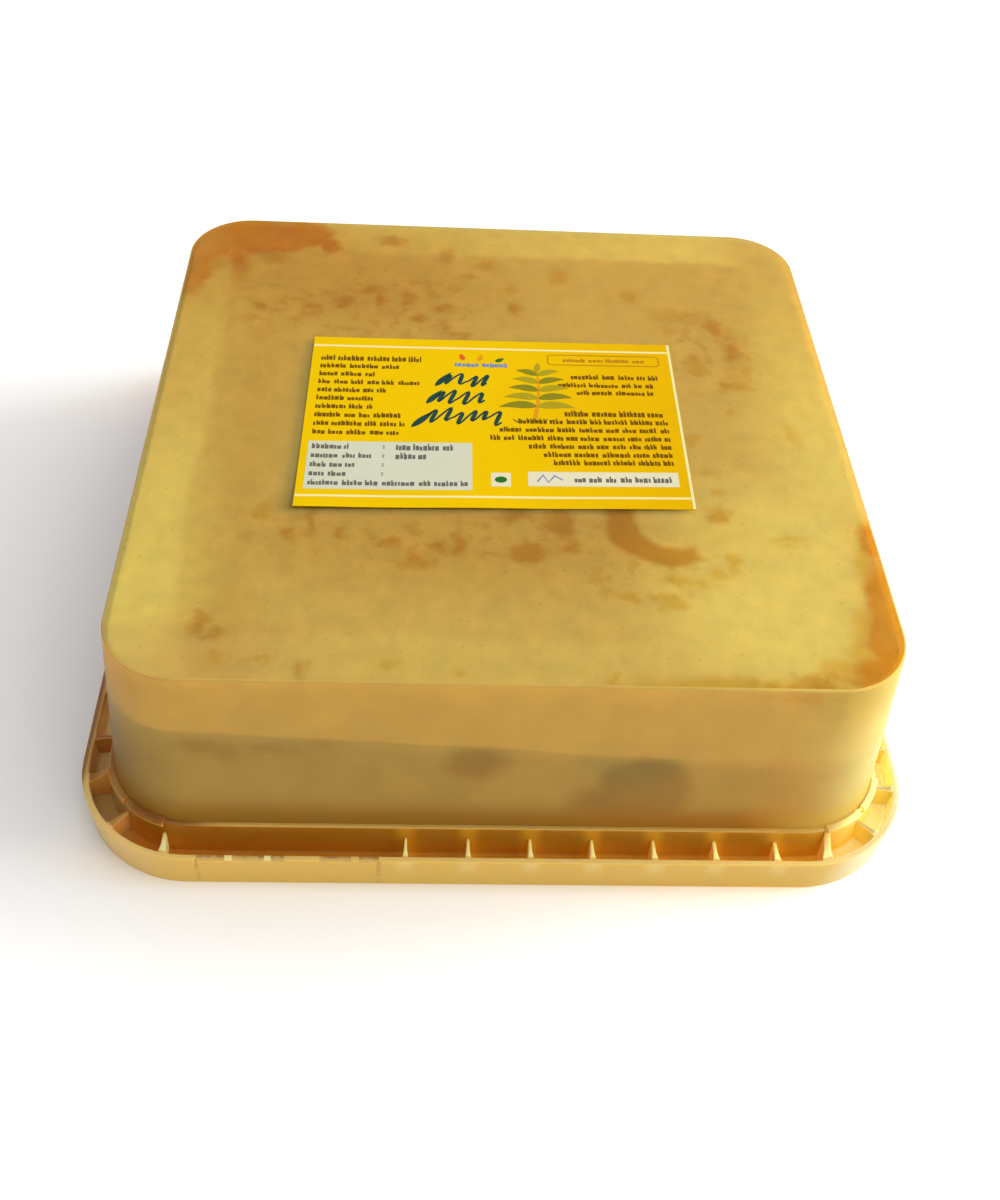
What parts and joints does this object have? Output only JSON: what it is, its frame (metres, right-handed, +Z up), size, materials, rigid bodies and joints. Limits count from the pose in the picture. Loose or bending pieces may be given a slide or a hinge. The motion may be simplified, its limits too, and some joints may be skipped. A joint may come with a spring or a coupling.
{
  "type": "tub of jaggery",
  "caption": "Shut square translucent food tub stored upside down on its ribbed snap lid, part filled with set date-palm jaggery, with a yellow label on its base.",
  "frame": {"origin": "centre of the lid's flat top, which the turned-over tub rests on", "axes": "+Z up through the tub's base, -Y towards the side of the skirt with the tear strip, +X to the right seen from that side"},
  "size_m": [0.165, 0.165, 0.0509],
  "materials": {
    "lid_plastic": "satin",
    "tub_plastic": "satin",
    "jaggery": "matte",
    "label_paper": "satin"
  },
  "bodies": {
    "root": {"lid": "lid_plastic", "tub": "tub_plastic", "jaggery": "jaggery", "label": "label_paper"}
  },
  "joints": []
}
